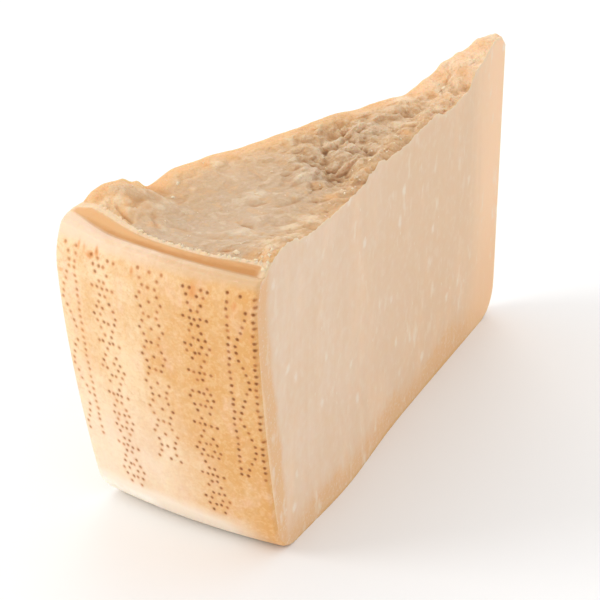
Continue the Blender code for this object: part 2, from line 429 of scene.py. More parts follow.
# Crumbs, by turns behind the band and along the right edge
CRUMB_SEED = 8
CRUMB_SIZES = (0.0003, 0.0007)
BAND_CRUMB_INSET = 0.0014
BAND_CRUMB_SCATTER = 0.0007
BAND_CRUMB_ENDS = (-0.3, 0.95)
EDGE_CRUMB_INSET = 0.0012
EDGE_CRUMB_SCATTER = 0.0026
EDGE_CRUMB_RADII = (0.05, 0.193)

# Lumps that crystals and crumbs are copied from
LOOSE_SHAPES = 5
LOOSE_WAVES = 1.4
LOOSE_UNEVENNESS = 0.65
LOOSE_BREADTH = 1.15

# Faces that meet at less than this are shaded as one smooth surface
WEDGE_SMOOTHING = math.radians(40.0)
LOOSE_SMOOTHING = math.radians(30.0)

# Floor, and soft lights by place and width
FLOOR_WIDTH = 12.0
FLOOR_COLOUR = (0.93, 0.93, 0.93)
KEY_LIGHT = ((-0.80, 1.10, 0.90), 1.0)
FILL_LIGHT = ((-0.95, -1.00, 0.80), 0.8)
LIGHT_AIM = (0.0, 0.0, 0.05)

# Camera: its place, and its turn in degrees
CAMERA_PLACE = (0.55787, -0.98200 + AXIS_Y, 0.58153)
CAMERA_TURN = (62.581, -0.705, 33.420)


def blend(low, high, share):
    return low + (high - low) * share


def smooth_step(low, high, value):
    share = min(max((value - low) / (high - low), 0.0), 1.0)
    return share * share * (3.0 - 2.0 * share)


def fade(distance):
    """Bell curve of one number: one at the centre and nearly nothing at twice the reach."""
    return math.exp(-distance * distance)


def bell(distances):
    """The same curve for many numbers at once."""
    return np.exp(-distances * distances)


def corner_inset(height, rounding):
    """How far a rounded corner lies inside the sharp one, at this height from the corner."""
    lift = np.clip(rounding - height, 0.0, rounding)
    return rounding - np.sqrt(rounding * rounding - lift * lift)


def side_radius(height):
    share = np.clip(1.0 - height / SPLIT_HEIGHT, 0.0, 1.0)
    drawn = WHEEL_RADIUS - SIDE_DRAW_IN * share**SIDE_POWER
    near_rim = np.clip(height - RIM_DRAW_START, 0.0, 1.0) / (SPLIT_HEIGHT - RIM_DRAW_START)
    return drawn - RIM_DRAW_IN * near_rim**2 - corner_inset(height, BASE_ROUNDING)


def tip_radius(height, top):
    lean = TIP_LEAN * np.clip(1.0 - height / top, 0.0, 1.0)
    rounding = corner_inset(height, TIP_BASE_ROUNDING) + corner_inset(top - height, TIP_TOP_ROUNDING)
    return TIP_RADIUS + lean + rounding


def three_way(left, middle, right, across):
    """Smooth curve through the heights at the left edge, in the middle and at the right edge."""
    side = left if across < 0.0 else right
    return blend(middle, side, smooth_step(0.0, 1.0, abs(across)))


def section_height(radius, across):
    if radius >= SECTIONS[0][0]:
        return three_way(*SECTIONS[0][1:], across)
    for outer, inner in zip(SECTIONS, SECTIONS[1:]):
        if radius >= inner[0]:
            share = smooth_step(inner[0], outer[0], radius)
            return blend(three_way(*inner[1:], across), three_way(*outer[1:], across), share)
    return three_way(*SECTIONS[-1][1:], across)


def cell_value(point, turn):
    """Steady pseudo-random number from -1 to 1 for one cell of the broken surface."""
    whole = math.sin(point.x * 12.9898 + point.y * 78.233 + turn * 37.719) * 4375.85453
    return (whole - math.floor(whole)) * 2.0 - 1.0


def chip_height(x, y, size, turn):
    """Broken facets: each cell has its own height and tilt, and meets the next in a short slope."""
    warp = noise.noise_vector(Vector((x / size * WARP_SCALE, y / size * WARP_SCALE, turn)))
    place = Vector((x / size, y / size * CHIP_SQUEEZE, turn * 7.0)) + warp * WARP_REACH
    distances, points = noise.voronoi(place)
    heights = []
    for point in points[:2]:
        away = place - point
        tilt = cell_value(point, 2.0) * away.x + cell_value(point, 3.0) * away.y
        heights.append(cell_value(point, 1.0) + tilt * CHIP_TILT)
    share = smooth_step(0.0, CHIP_SLOPE, distances[1] - distances[0])
    return blend((heights[0] + heights[1]) / 2.0, heights[0], share)


def strongest(patches, usual, radius, x):
    """The strength that these patches give to a place, and the usual one beside them."""
    strength = usual
    for patch_radius, patch_x, reach, patch in patches:
        distance = math.hypot(radius - patch_radius, x - patch_x) / reach
        strength = max(strength, patch * fade(distance))
    return strength


def roughness(radius, x):
    """How broken the split face is at a point, from calm to fully craggy."""
    strength = strongest(CRAG_PATCHES, USUAL_ROUGHNESS, radius, x)
    slab_radius, slab_x, reach, calming = SMOOTH_SLAB
    distance = math.hypot((radius - slab_radius) * 0.75, (x - slab_x) * 1.5) / reach
    return max(strength * (1.0 - calming * fade(distance)), CALM)


def hollow_depth(radius, x):
    depth = 0.0
    for centre, centre_x, length, breadth, deep in HOLLOWS:
        distance = math.hypot((radius - centre) / length, (x - centre_x) / breadth)
        depth += deep * fade(distance)
    return depth


def crest_height(radius, across):
    from_cut = radius * math.sin(HALF_ANGLE * (1.0 - across))
    uneven = CREST_LEVEL + CREST_UNEVENNESS * noise.noise(Vector((radius / CREST_WAVE, 3.0, 0.0)))
    near_tip = smooth_step(0.02, 0.05, radius)
    return CREST_HEIGHT * uneven * near_tip * fade((from_cut - CREST_INSET) / CREST_BREADTH)


def lump_height(aside, along, size, turn):
    """Rounded lumps that meet in creases, which lie as deep as LUMP_CREASE."""
    place = Vector((aside / size, along / size, turn * 5.0))
    warped = place + noise.noise_vector(place * LUMP_WARP_SCALE) * WARP_REACH
    return abs(noise.noise(warped)) * 2.0 - LUMP_CREASE


def edge_smoothness(radius, across):
    """The left edge and the hill at its near end are smooth, the rest isn't."""
    from_left = radius * math.sin(HALF_ANGLE * (1.0 + across))
    on_hill = fade((radius - HILL_RADIUS) / HILL_REACH) * fade((from_left - HILL_INSET) / HILL_REACH)
    on_edge = smooth_step(LEFT_EDGE_BREADTH, LEFT_EDGE_CORE, from_left)
    return 1.0 - max(LEFT_EDGE_CALM * on_edge, HILL_CALM * on_hill)


def fine_relief(radius, x, strength):
    """Lumps of three sizes, and long flakes that run from rind to tip."""
    along = radius * math.cos(GRAIN_DRIFT) - x * math.sin(GRAIN_DRIFT)
    aside = x * math.cos(GRAIN_DRIFT) + radius * math.sin(GRAIN_DRIFT)
    relief = 0.0
    for turn, (size, height) in enumerate(LUMP_SIZES):
        relief += lump_height(aside, along * LUMP_SQUEEZE, size, turn) * height
    at_flake = Vector((aside / FLAKE_BREADTH, along / FLAKE_LENGTH, 5.0))
    flakes = (1.0 - 2.0 * abs(noise.noise(at_flake))) * FLAKE_RELIEF
    flakes *= strongest(FLAKE_PATCHES, USUAL_FLAKES, radius, x)
    return (relief + flakes) * max((strength - FINE_START) * FINE_GAIN, FINE_LEAST)


def rough_height(radius, x, across):
    strength = roughness(radius, x)
    chips = chip_height(x, radius, CHIP_SIZE, 1.0) * CHIP_RELIEF
    grains = chip_height(x, radius, GRAIN_SIZE, 4.0) * GRAIN_RELIEF
    edge_calm = 1.0 - EDGE_CALM * smooth_step(EDGE_CALM_START, 1.0, abs(across))
    broken = (chips + grains - hollow_depth(radius, x)) * edge_calm * strength
    fine = fine_relief(radius, x, strength + RIGHT_EDGE_EXTRA * smooth_step(0.6, 0.9, across))
    tip_calm = 1.0 - TIP_CALM * smooth_step(TIP_CALM_START, TIP_CALM_FULL, radius)
    height = section_height(radius, across) + crest_height(radius, across)
    return height + (broken + fine) * edge_smoothness(radius, across) * tip_calm


def lip_height(across):
    return SPLIT_HEIGHT + LIP_LEFT_RISE * smooth_step(0.45, 1.05, -across)


def band_rise(across):
    """The band is tallest left of the middle, and runs out to nothing at the left end."""
    rise = BAND_RISE + BAND_LEFT_RISE * fade((across - BAND_CREST) / BAND_CREST_REACH)
    rise += BAND_RIGHT_RISE * smooth_step(0.3, 0.8, across)
    return rise * (1.0 - BAND_END_FADE * smooth_step(0.8, 1.0, -across))


def ledge_breadth(across):
    """A smooth pale ledge behind the band: broad on the left, next to nothing elsewhere."""
    return LEDGE_BREADTH + LEDGE_LEFT_EXTRA * smooth_step(-0.27, -0.40, across)


def split_height(radius, across):
    """Height of the split face: lip, band, ledge and rough middle, going in from the side."""
    lip = lip_height(across)
    if radius >= LIP_INNER:
        height = blend(lip, SPLIT_HEIGHT, (radius - LIP_INNER) / (RIM_RADIUS - LIP_INNER) * LIP_SLOPE)
        from_edge = (radius - RIM_RADIUS) / SOFT_EDGE_BREADTH + 1.0
        return height - SOFT_EDGE_DROP * smooth_step(0.0, 1.0, from_edge) ** 2
    share = min((LIP_INNER - radius) / (LIP_INNER - BAND_INNER), 1.0)
    ledge = lip + band_rise(across) * share
    ledge_end = BAND_INNER - ledge_breadth(across)
    if radius >= ledge_end:
        return ledge + (BAND_INNER - radius) * LEDGE_SLOPE * (radius < BAND_INNER)
    share = smooth_step(0.0, ROUGH_START, ledge_end - radius)
    x = radius * math.sin(HALF_ANGLE * across)
    height = blend(ledge, rough_height(radius, x, across), share)
    crumbly = smooth_step(0.0, RIM_CRUMB_START, ledge_end - radius) * (1.0 - share)
    crumbly *= smooth_step(-0.95, -0.80, across)
    lumps = lump_height(x, radius, RIM_CRUMB_SIZE, 8.0) + LUMP_CREASE
    return height + lumps * RIM_CRUMB_RELIEF * crumbly


def row_radius(share):
    """Radius of a row on the split face, from the rim at 0 to the tip at 1."""
    fine = FINE_ROWS / ROWS
    near = RIM_RADIUS - FINE_DEPTH * share / fine
    far = blend(RIM_RADIUS - FINE_DEPTH, TIP_RADIUS, (share - fine) / (1.0 - fine))
    return np.where(share < fine, near, far)


def detail_height(radius, x, wander):
    """The placed lumps and creases, with their outlines made uneven."""
    height = np.zeros_like(x)
    for centre, centre_x, length, breadth, turn, rise in DETAILS:
        cosine, sine = math.cos(math.radians(turn)), math.sin(math.radians(turn))
        outward = radius + wander[..., 0] - centre
        rightward = x + wander[..., 1] - centre_x
        along = (outward * cosine + rightward * sine) / length
        aside = (rightward * cosine - outward * sine) / breadth
        height += rise * bell(along) * bell(aside)
    return height


def split_map():
    """Heights of the split face at every row and column of the mesh."""
    noise.seed_set(WARP_SEED)
    radii = row_radius(np.arange(ROWS + 1) / ROWS)
    shares = np.arange(COLUMNS + 1) / COLUMNS * 2.0 - 1.0
    x = radii[:, None] * np.sin(HALF_ANGLE * shares)[None, :]
    heights = np.empty_like(x)
    wander = np.empty((*x.shape, 2))
    for row, radius in enumerate(radii.tolist()):
        for column, across in enumerate(shares.tolist()):
            heights[row, column] = split_height(radius, across)
            turned = noise.noise_vector(Vector((x[row, column], radius, 0.0)) / WANDER_SIZE)
            wander[row, column] = turned[:2]
    behind_band = np.clip((BAND_INNER - DETAIL_INSET - radii) / DETAIL_FADE, 0.0, 1.0)[:, None]
    near_tip = np.clip((TIP_DETAILS - radii) / TIP_DETAILS_FADE, 0.0, 1.0)[:, None]
    off_edge = np.clip((1.0 - np.abs(shares)) / EDGE_FADE, EDGE_DETAILS, 1.0)[None, :]
    details = detail_height(radii[:, None], x, wander * WANDER_REACH)
    return heights + details * behind_band * np.maximum(off_edge, near_tip)


def softened(heights, rounds):
    """The same map, levelled out with its neighbours this many times."""
    soft = heights.copy()
    for _ in range(rounds):
        padded = np.pad(soft, 1, mode="edge")
        soft = (padded[:-2, 1:-1] + padded[2:, 1:-1] + padded[1:-1, :-2] + padded[1:-1, 2:] + soft) / 5.0
    return soft


def show_only(piece):
    bpy.ops.object.select_all(action="DESELECT")
    piece.select_set(True)
    bpy.context.view_layer.objects.active = piece


def mesh_values(items, name, width, kind=float):
    """One property of all these vertices, edges, faces or corners, in rows of this width."""
    values = np.empty(len(items) * width, kind)
    items.foreach_get(name, values)
    return values.reshape(-1, width)


def select_only(mesh, kind, chosen):
    """Selects the chosen edges or polygons, in their own mode."""
    bpy.context.tool_settings.mesh_select_mode = (False, kind == "edges", kind == "polygons")
    for domain in (mesh.vertices, mesh.edges, mesh.polygons):
        domain.foreach_set("select", np.zeros(len(domain), bool))
    getattr(mesh, kind).foreach_set("select", chosen)
    bpy.ops.object.mode_set(mode="EDIT")


def select_edges(piece, wanted):
    """Selects the edges for which wanted(start, end) is true."""
    bpy.ops.object.mode_set(mode="OBJECT")
    mesh = piece.data
    ends = vertex_places(mesh)[mesh_values(mesh.edges, "vertices", 2, np.int32)]
    select_only(mesh, "edges", wanted(ends[:, 0], ends[:, 1]))


def select_faces(piece, wanted):
    """Selects the faces for which wanted(centres) is true."""
    bpy.ops.object.mode_set(mode="OBJECT")
    mesh = piece.data
    select_only(mesh, "polygons", wanted(mesh_values(mesh.polygons, "center", 3)))


def vertex_places(mesh):
    return mesh_values(mesh.vertices, "co", 3)


def is_upright(start, end):
    return np.abs(start[:, 2] - end[:, 2]) > TINY


def on_side(points):
    """Whether points of the unit block lie on the wheel's side, where the rind is."""
    return points[:, 0] < TINY - 0.5


def unit_block():
    """A unit block: a fine grid on top, walls below it with levels, and one flat face under it."""
    bpy.ops.object.select_all(action="DESELECT")
    bpy.ops.mesh.primitive_grid_add(x_subdivisions=ROWS, y_subdivisions=COLUMNS, size=1.0)
    block = bpy.context.object
    if len(block.data.vertices) != (ROWS + 1) * (COLUMNS + 1):
        raise RuntimeError("the grid has other rows or columns than planned")
    bpy.ops.object.mode_set(mode="EDIT")
    bpy.ops.mesh.select_all(action="SELECT")
    bpy.ops.mesh.extrude_region_move(TRANSFORM_OT_translate={"value": (0.0, 0.0, -1.0)})
    select_edges(block, is_upright)
    bpy.ops.mesh.subdivide(number_cuts=SIDE_LEVELS - 1)
    select_edges(block, lambda start, end: is_upright(start, end) & on_side(start) & on_side(end))
    bpy.ops.mesh.subdivide(number_cuts=RIND_CUTS)
    select_faces(block, lambda centres: centres[:, 2] < TINY - 1.0)
    bpy.ops.mesh.dissolve_faces()
    bpy.ops.object.mode_set(mode="OBJECT")
    return block


def rind_marks():
    """Pin marks: distance across, height and strength of every dot."""
    draw = random.Random(MARK_SEED)
    dots = []
    for number, (centre, lowest, ornament, strength) in enumerate(MARK_COLUMNS):
        for step in range(int((MARK_TOP - lowest) / MARK_PITCH)):
            height = MARK_TOP - step * MARK_PITCH - MARK_SHIFT * (number % 2)
            for across in ornament_row(ornament, step):
                if draw.random() < MISSED_MARKS:
                    continue
                place = centre + across * MARK_HALF_WIDTH + draw.gauss(0, MARK_SCATTER)
                depth = strength * blend(LEAST_MARK, 1.0, draw.random() ** 0.6)
                dots.append((place, height + draw.gauss(0, MARK_SCATTER), depth))
    return np.array(dots)


def ornament_row(ornament, step):
    """Where the dots of one row of a running ornament lie, from -1 to 1 across its column."""
    if ornament == "wave":
        return (-1.0, math.sin(step * math.pi / 5.0) * 0.45, 1.0)
    if ornament == "rope":
        if step % 8 in (2, 6):
            return (0.0, -0.55, 0.55)
        swing = math.cos(step * math.pi / 4.0)
        return (-swing, swing, 0.0) if abs(swing) > 0.9 else (-swing, swing)
    fold = abs(step % 8 - 4) / 4.0
    if fold < 0.1:
        return (-0.95, -0.45, 0.0, 0.45, 0.95)
    return (-fold, fold, 0.55 - fold, fold - 0.55) if fold > 0.7 else (-fold, fold)


def swell(radius, across, height):
    """How far the right cut bulges out near its lower edge."""
    right = np.clip(across, 0.0, 1.0)
    sideways = right * right * (3.0 - 2.0 * right)
    lengthways = bell((radius - SWELL_RADIUS) / SWELL_LENGTH)
    return SWELL_REACH * lengthways * bell(height / SWELL_HEIGHT) * sideways


def nearest_mark(marks, across, height):
    """Index of, and distance to, the closest pin mark of each point."""
    gaps = np.hypot(across[:, None] - marks[None, :, 0], height[:, None] - marks[None, :, 1])
    index = gaps.argmin(axis=1)
    return index, gaps[np.arange(len(index)), index]


class WedgePoints:
    """Every point of the unit block, and its place on the wedge."""

    def __init__(self, block, heights):
        unit = vertex_places(block.data)
        self.rows = np.rint((unit[:, 0] + 0.5) * ROWS).astype(int)
        self.columns = np.rint((unit[:, 1] + 0.5) * COLUMNS).astype(int)
        self.across = self.columns / COLUMNS * 2.0 - 1.0
        self.top = heights[self.rows, self.columns]
        upward = unit[:, 2] + 1.0
        self.on_top = (upward > 1.0 - TINY).astype(float)
        self.on_rind = (self.rows == 0) & (upward < 1.0 - TINY)
        self.height = self.top * blend(upward * upward, upward, 1.0 - BASE_CROWDING * (1.0 - upward))
        inward = (RIM_RADIUS - row_radius(self.rows / ROWS)) / (RIM_RADIUS - TIP_RADIUS)
        from_cut = (1.0 - np.abs(self.across)) * HALF_ANGLE * WHEEL_RADIUS
        side = side_radius(self.height) - corner_inset(from_cut, CUT_EDGE_ROUNDING)
        self.radius = blend(side, tip_radius(self.height, self.top), inward)
        self.arc = self.across * HALF_ANGLE * WHEEL_RADIUS

    def press(self, marks, sizes):
        """Presses the pin marks into the rind."""
        dent = np.zeros(len(self.rows))
        index, gap = nearest_mark(marks, self.arc[self.on_rind], self.height[self.on_rind])
        dent[self.on_rind] = bell(gap / sizes.mark_radius / MARK_REACH) * marks[index, 2] * sizes.mark_depth
        self.radius = self.radius - dent

    def places(self):
        angle = HALF_ANGLE * self.across + swell(self.radius, self.across, self.height) / self.radius
        outward = AXIS_Y - self.radius * np.cos(angle)
        return np.stack([self.radius * np.sin(angle), outward, self.height], axis=1)


def soft_edge(distance, blur):
    """1 where the distance is above nought and 0 where it is below, with a soft change."""
    return np.clip(distance / blur + 0.5, 0.0, 1.0)


def rim_masks(points):
    """Lip, band and pale ledge of the rim, as three masks on the split face."""
    radius = row_radius(points.rows / ROWS)
    lip = soft_edge(radius - LIP_INNER, LIP_BLUR)
    band = soft_edge(radius - BAND_INNER, BAND_BLUR) - lip
    ends = soft_edge(points.across - BAND_LEFT_END, BAND_END_BLUR)
    ends *= soft_edge(BAND_RIGHT_END - points.across, BAND_END_BLUR)
    ledge_end = BAND_INNER - np.array([ledge_breadth(value) for value in points.across.tolist()])
    ledge = soft_edge(radius - ledge_end + LEDGE_CRUMBS, LEDGE_BLUR) - lip - band
    return {"lip": lip, "band": band * ends, "ledge": np.maximum(ledge, band * (1.0 - ends))}


class Value:
    """A shader socket that takes part in sums."""

    def __init__(self, graph, socket):
        self.graph = graph
        self.socket = socket

    def sum(self, operation, first, second=None, third=None):
        inputs = {index: value for index, value in enumerate((first, second, third)) if value is not None}
        return self.graph.node("ShaderNodeMath", {"operation": operation}, inputs)

    def __add__(self, other):
        return self.sum("ADD", self, other)

    def __radd__(self, other):
        return self.sum("ADD", other, self)

    def __sub__(self, other):
        return self.sum("SUBTRACT", self, other)

    def __rsub__(self, other):
        return self.sum("SUBTRACT", other, self)

    def __mul__(self, other):
        return self.sum("MULTIPLY", self, other)

    def __rmul__(self, other):
        return self.sum("MULTIPLY", other, self)

    def __truediv__(self, other):
        return self.sum("DIVIDE", self, other)

    def __pow__(self, other):
        return self.sum("POWER", self, other)

    def root(self):
        return self.sum("SQRT", self)

    def larger(self, other):
        return self.sum("MAXIMUM", self, other)

    def smaller(self, other):
        return self.sum("MINIMUM", self, other)

    def step(self, low, high):
        """Smooth step from 0 at low to 1 at high; low may be the larger."""
        settings = {"interpolation_type": "SMOOTHSTEP"}
        return self.graph.node("ShaderNodeMapRange", settings, {"Value": self, 1: low, 2: high})


class Graph:
    """The nodes of one material."""

    def __init__(self, name):
        self.material = bpy.data.materials.new(name)
        self.material.use_nodes = True
        self.tree = self.material.node_tree
        self.shader = self.tree.nodes["Principled BSDF"]
        self.place = self.node("ShaderNodeTexCoord", {}, {}, "Object")

    def node(self, kind, settings, inputs, output=0):
        made = self.tree.nodes.new(kind)
        for name, value in settings.items():
            setattr(made, name, value)
        for key, value in inputs.items():
            self.feed(made.inputs[key], value)
        return Value(self, made.outputs[output])

    def feed(self, socket, value):
        if isinstance(value, Value):
            self.tree.links.new(value.socket, socket)
        elif socket.type == "RGBA":
            socket.default_value = (*value[:3], 1.0)
        else:
            socket.default_value = value

    def set(self, **inputs):
        for name, value in inputs.items():
            self.feed(self.shader.inputs[name.replace("_", " ")], value)

    def attribute(self, name, output="Fac"):
        return self.node("ShaderNodeAttribute", {"attribute_name": name}, {}, output)

    def parts(self, vector):
        split = self.tree.nodes.new("ShaderNodeSeparateXYZ")
        self.feed(split.inputs[0], vector)
        return [Value(self, output) for output in split.outputs]

    def stretched(self, x, y, z):
        """Object coordinates, stretched by these factors."""
        settings = {"vector_type": "POINT"}
        return self.node("ShaderNodeMapping", settings, {"Vector": self.place, "Scale": (x, y, z)})

    def grained(self, breadth, length):
        """Coordinates of the split's grain, in grains: across it, and along it to the tip."""
        scale = (breadth, length, breadth)
        inputs = {"Vector": self.place, "Rotation": (0.0, 0.0, -GRAIN_DRIFT), "Scale": scale}
        return self.node("ShaderNodeMapping", {"vector_type": "TEXTURE"}, inputs)

    def noise(self, size, detail=3.0, rough=0.55, vector=None, bend=0.0):
        inputs = {"Vector": vector or self.place, "Scale": 1.0 / size, "Detail": detail}
        inputs.update({"Roughness": rough, "Distortion": bend})
        return self.node("ShaderNodeTexNoise", {}, inputs)

    def cells(self, size, output="Distance", feature="F1", vector=None):
        inputs = {"Vector": vector or self.place, "Scale": 1.0 / size}
        return self.node("ShaderNodeTexVoronoi", {"feature": feature}, inputs, output)

    def mix(self, share, first, second):
        made = self.tree.nodes.new("ShaderNodeMix")
        made.data_type = "RGBA"
        self.feed(made.inputs[0], share)
        self.feed(made.inputs[6], first)
        self.feed(made.inputs[7], second)
        return Value(self, made.outputs[2])

    def bump(self, height, depth, strength):
        inputs = {"Height": height, "Distance": depth, "Strength": strength}
        return self.node("ShaderNodeBump", {}, inputs)

    def wheel_radius(self):
        x, y, _ = self.parts(self.place)
        behind = y - AXIS_Y
        return (x * x + behind * behind).root()

    def rind_depth(self):
        """How deep under the rind a point of the paste lies, from the wheel's side."""
        _, _, z = self.parts(self.place)
        share = (1.0 - z / SPLIT_HEIGHT).larger(0.0)
        return WHEEL_RADIUS - SIDE_DRAW_IN * share**SIDE_POWER - self.wheel_radius()


class Coat:
    """The colour of one material, laid on in layers."""

    def __init__(self, graph, share, first, second):
        self.graph = graph
        self.colour = graph.mix(share, first, second)

    def lay(self, share, colour):
        self.colour = self.graph.mix(share, self.colour, colour)


def translucent(graph, weight, scale):
    """Light soaks into the paste and comes out warmer."""
    shader = graph.shader
    shader.inputs["Subsurface Weight"].default_value = weight
    shader.inputs["Subsurface Radius"].default_value = (1.0, 0.52, 0.26)
    shader.inputs["Subsurface Scale"].default_value = scale
    shader.inputs["IOR"].default_value = 1.42
    shader.inputs["Specular IOR Level"].default_value = 0.4


def lip_shade(graph, colours, x, clouds):
    """The lip is palest on the left, and mottled."""
    worn = graph.noise(0.0034, 4.0, 0.65, bend=0.6)
    tone = (x * 16.0 + clouds * 0.5 + worn * 0.9 - 0.22).step(0.0, 0.95)
    colour = graph.mix(tone, colours.lip, colours.lip_warm)
    return graph.mix(worn.step(0.60, 0.72) * 0.5, colour, colours.rind_blush)


def rind_material(colours):
    """Rind: mottled, with painted highlights low on the left and along its foot, pale at its top rim, with
    stained pin marks.
    """
    graph = Graph("rind")
    clouds = graph.noise(0.020, 4.0, 0.6, bend=0.4)
    upright = graph.noise(0.009, 3.0, 0.5, vector=graph.stretched(1.0, 1.0, 0.14))
    mottle = graph.noise(0.0030, 4.0, 0.62)
    fine = graph.noise(0.0008, 3.0, 0.62)
    x, _, z = graph.parts(graph.place)
    depth = (clouds * 0.60 + upright * 0.45 + mottle * 0.5 + x * 6.0 - 0.495).step(0.02, 0.48)
    coat = Coat(graph, depth, colours.rind_light, colours.rind_deep)
    blush = graph.noise(0.007, 3.0, 0.6, vector=graph.stretched(1.0, 1.0, 0.5)).step(0.50, 0.72)
    coat.lay(blush * 0.5, colours.rind_blush)
    sand = graph.noise(0.0017, 2.0, 0.5)
    peel = graph.cells(0.0015, feature="SMOOTH_F1")
    grain = (mottle * 0.9 + sand * 0.5 + fine * 0.9 - peel * 0.35 - 0.99) * 1.5
    coat.lay(grain.larger(0.0).smaller(0.24), colours.rind_speck)
    coat.lay((grain * -1.0).larger(0.0).smaller(0.75), colours.rind_dusk)
    # Painted highlight: the rind turns paler low down on the left and along its foot
    low = z.step(0.062, 0.022) * x.step(0.022, -0.012) * 0.45
    low = low + z.step(0.014, 0.006) * x.step(0.032, 0.012)
    coat.lay(low.smaller(0.9), colours.rind_foot_highlight)
    # Painted highlight: a pale streak along the foot of the rind, low on the left
    highlight_streak = z.step(0.0030, 0.0052) * z.step(0.0098, 0.0070)
    highlight_streak = highlight_streak * x.step(-0.0060, -0.0130) * x.step(-0.0345, -0.0290)
    coat.lay(highlight_streak * (upright + mottle).step(0.65, 1.0) * 0.85, colours.sheen)
    pale_rim = (z + clouds * 0.004 - x * 0.02).step(0.0955, 0.0985)
    coat.lay(pale_rim * 0.85, lip_shade(graph, colours, x, clouds))
    stain = graph.attribute("stain") + (sand - 0.5) * 0.8
    coat.lay(stain.step(0.30, 0.95) * 0.75, colours.stain)
    coat.lay(stain.step(0.75, 1.25) * 0.55, colours.mark_faint)
    off_x, off_z, strength = graph.parts(graph.attribute("mark", "Vector"))
    wander = (graph.noise(0.0013, 2.0, 0.6) - 0.5) * 0.7
    reach = (off_x * off_x + off_z * off_z).root() + wander
    dot = reach.step(1.5, 0.2)
    halo = reach.step(2.6, 0.6)
    coat.lay(halo * 0.32, colours.stain)
    dot_colour = graph.mix(strength.step(0.35, 0.85), colours.mark_faint, colours.mark)
    coat.lay(dot * (0.42 + strength * 0.55), dot_colour)
    relief = mottle * 0.5 + fine * 0.3 + clouds * 0.8 - dot * strength * 0.9
    graph.set(Base_Color=coat.colour, Roughness=0.34 + mottle * 0.2 + dot * 0.2)
    graph.set(Normal=graph.bump(relief, 0.0004, 0.8))
    translucent(graph, 0.25, 0.003)
    return graph.material


def cut_material(colours):
    """Cut paste: upright streaks and pale flecks, and darker under the rind and along the base."""
    graph = Graph("cut_paste")
    streaks = graph.noise(0.0036, 3.0, 0.6, vector=graph.stretched(1.0, 1.0, 0.08), bend=0.3)
    hair = graph.noise(0.0011, 2.0, 0.6, vector=graph.stretched(1.0, 1.0, 0.12), bend=0.3)
    clouds = graph.noise(0.026, 3.0, 0.5)
    mottle = graph.noise(0.0045, 4.0, 0.6)
    _, _, z = graph.parts(graph.place)
    depth = graph.rind_depth() + (clouds - 0.5) * 0.006
    under = (z + (clouds - 0.5) * 0.004).larger(0.0)
    tone = (clouds * 0.6 + streaks * 0.45 + mottle * 0.45 - 0.42).step(0.08, 0.6)
    coat = Coat(graph, tone * 0.6, colours.paste, colours.paste_warm)
    coat.lay(depth.step(0.03, 0.14) * 0.85, colours.paste_warm)
    peach = graph.noise(0.013, 4.0, 0.6, vector=graph.stretched(1.0, 1.0, 0.30)).step(0.46, 0.74)
    coat.lay(peach * 0.28, colours.tip_glow)
    dust = graph.noise(0.0032, 3.0, 0.6)
    coat.lay(dust.step(0.50, 0.70) * 0.17, colours.fleck)
    coat.lay(dust.step(0.49, 0.32) * 0.12, colours.rind_section)
    wavy = (clouds - 0.5) * 0.010 + (mottle - 0.5) * 0.006
    low_band = (under + wavy - (streaks - 0.5) * 0.008).step(0.0140, 0.0050) * 0.85
    near_rind = (depth + wavy * 0.5).step(0.0110, 0.0065).larger(low_band)
    coat.lay(near_rind * 0.85, colours.rind_section)
    gritty = graph.noise(0.0011, 3.0, 0.7)
    coat.lay(near_rind * gritty.step(0.54, 0.70) * 0.5, colours.fleck)
    coat.lay(low_band * gritty.step(0.46, 0.32) * 0.4, colours.rind_deep)
    skin = depth.step(0.0026, 0.0006)
    coat.lay(skin * 0.55, colours.rind_light)
    coat.lay(under.step(0.0016, 0.0004) * 0.6, colours.rind_deep)
    near_tip = (graph.wheel_radius() + (streaks - 0.5) * 0.012).step(0.042, 0.016)
    coat.lay(near_tip * 0.8, colours.tip_glow)
    low_tip = near_tip * z.step(0.050, 0.010)
    coat.lay(low_tip * 0.45, colours.rind_section)
    top_edge = graph.attribute("below").step(2.2, 0.2)
    coat.lay(top_edge * 0.55, colours.crumb)
    upright = graph.stretched(0.0, 1.0, 0.72)
    lumps = graph.cells(0.0080, vector=upright)
    chosen = graph.parts(graph.cells(0.0080, "Color", vector=upright))[0]
    crystal = (lumps + (mottle - 0.5) * 0.45).step(0.22, 0.02) * chosen.step(0.50, 0.95)
    patchy = graph.noise(0.020, 2.0, 0.5).step(0.38, 0.62)
    smudge = graph.noise(0.0042, 3.0, 0.5, vector=graph.stretched(1.0, 1.0, 0.5)).step(0.56, 0.76)
    smudge = smudge * patchy
    short = graph.stretched(0.0, 1.0, 0.7)
    small = graph.cells(0.0040, vector=short)
    picked = graph.parts(graph.cells(0.0040, "Color", vector=short))[1]
    grain = small.step(0.14, 0.04) * picked.step(0.70, 0.90)
    coat.lay((crystal * 0.60).larger(smudge * 0.60), colours.fleck)
    coat.lay(grain * 0.55, colours.fleck)
    relief = streaks * 0.22 + hair * 0.08 + mottle * 0.5 + crystal * 0.4
    graph.set(Base_Color=coat.colour, Roughness=0.46 + mottle * 0.16 - crystal * 0.08)
    graph.set(Normal=graph.bump(relief, 0.00022, 0.6))
    translucent(graph, 0.32, 0.004)
    return graph.material


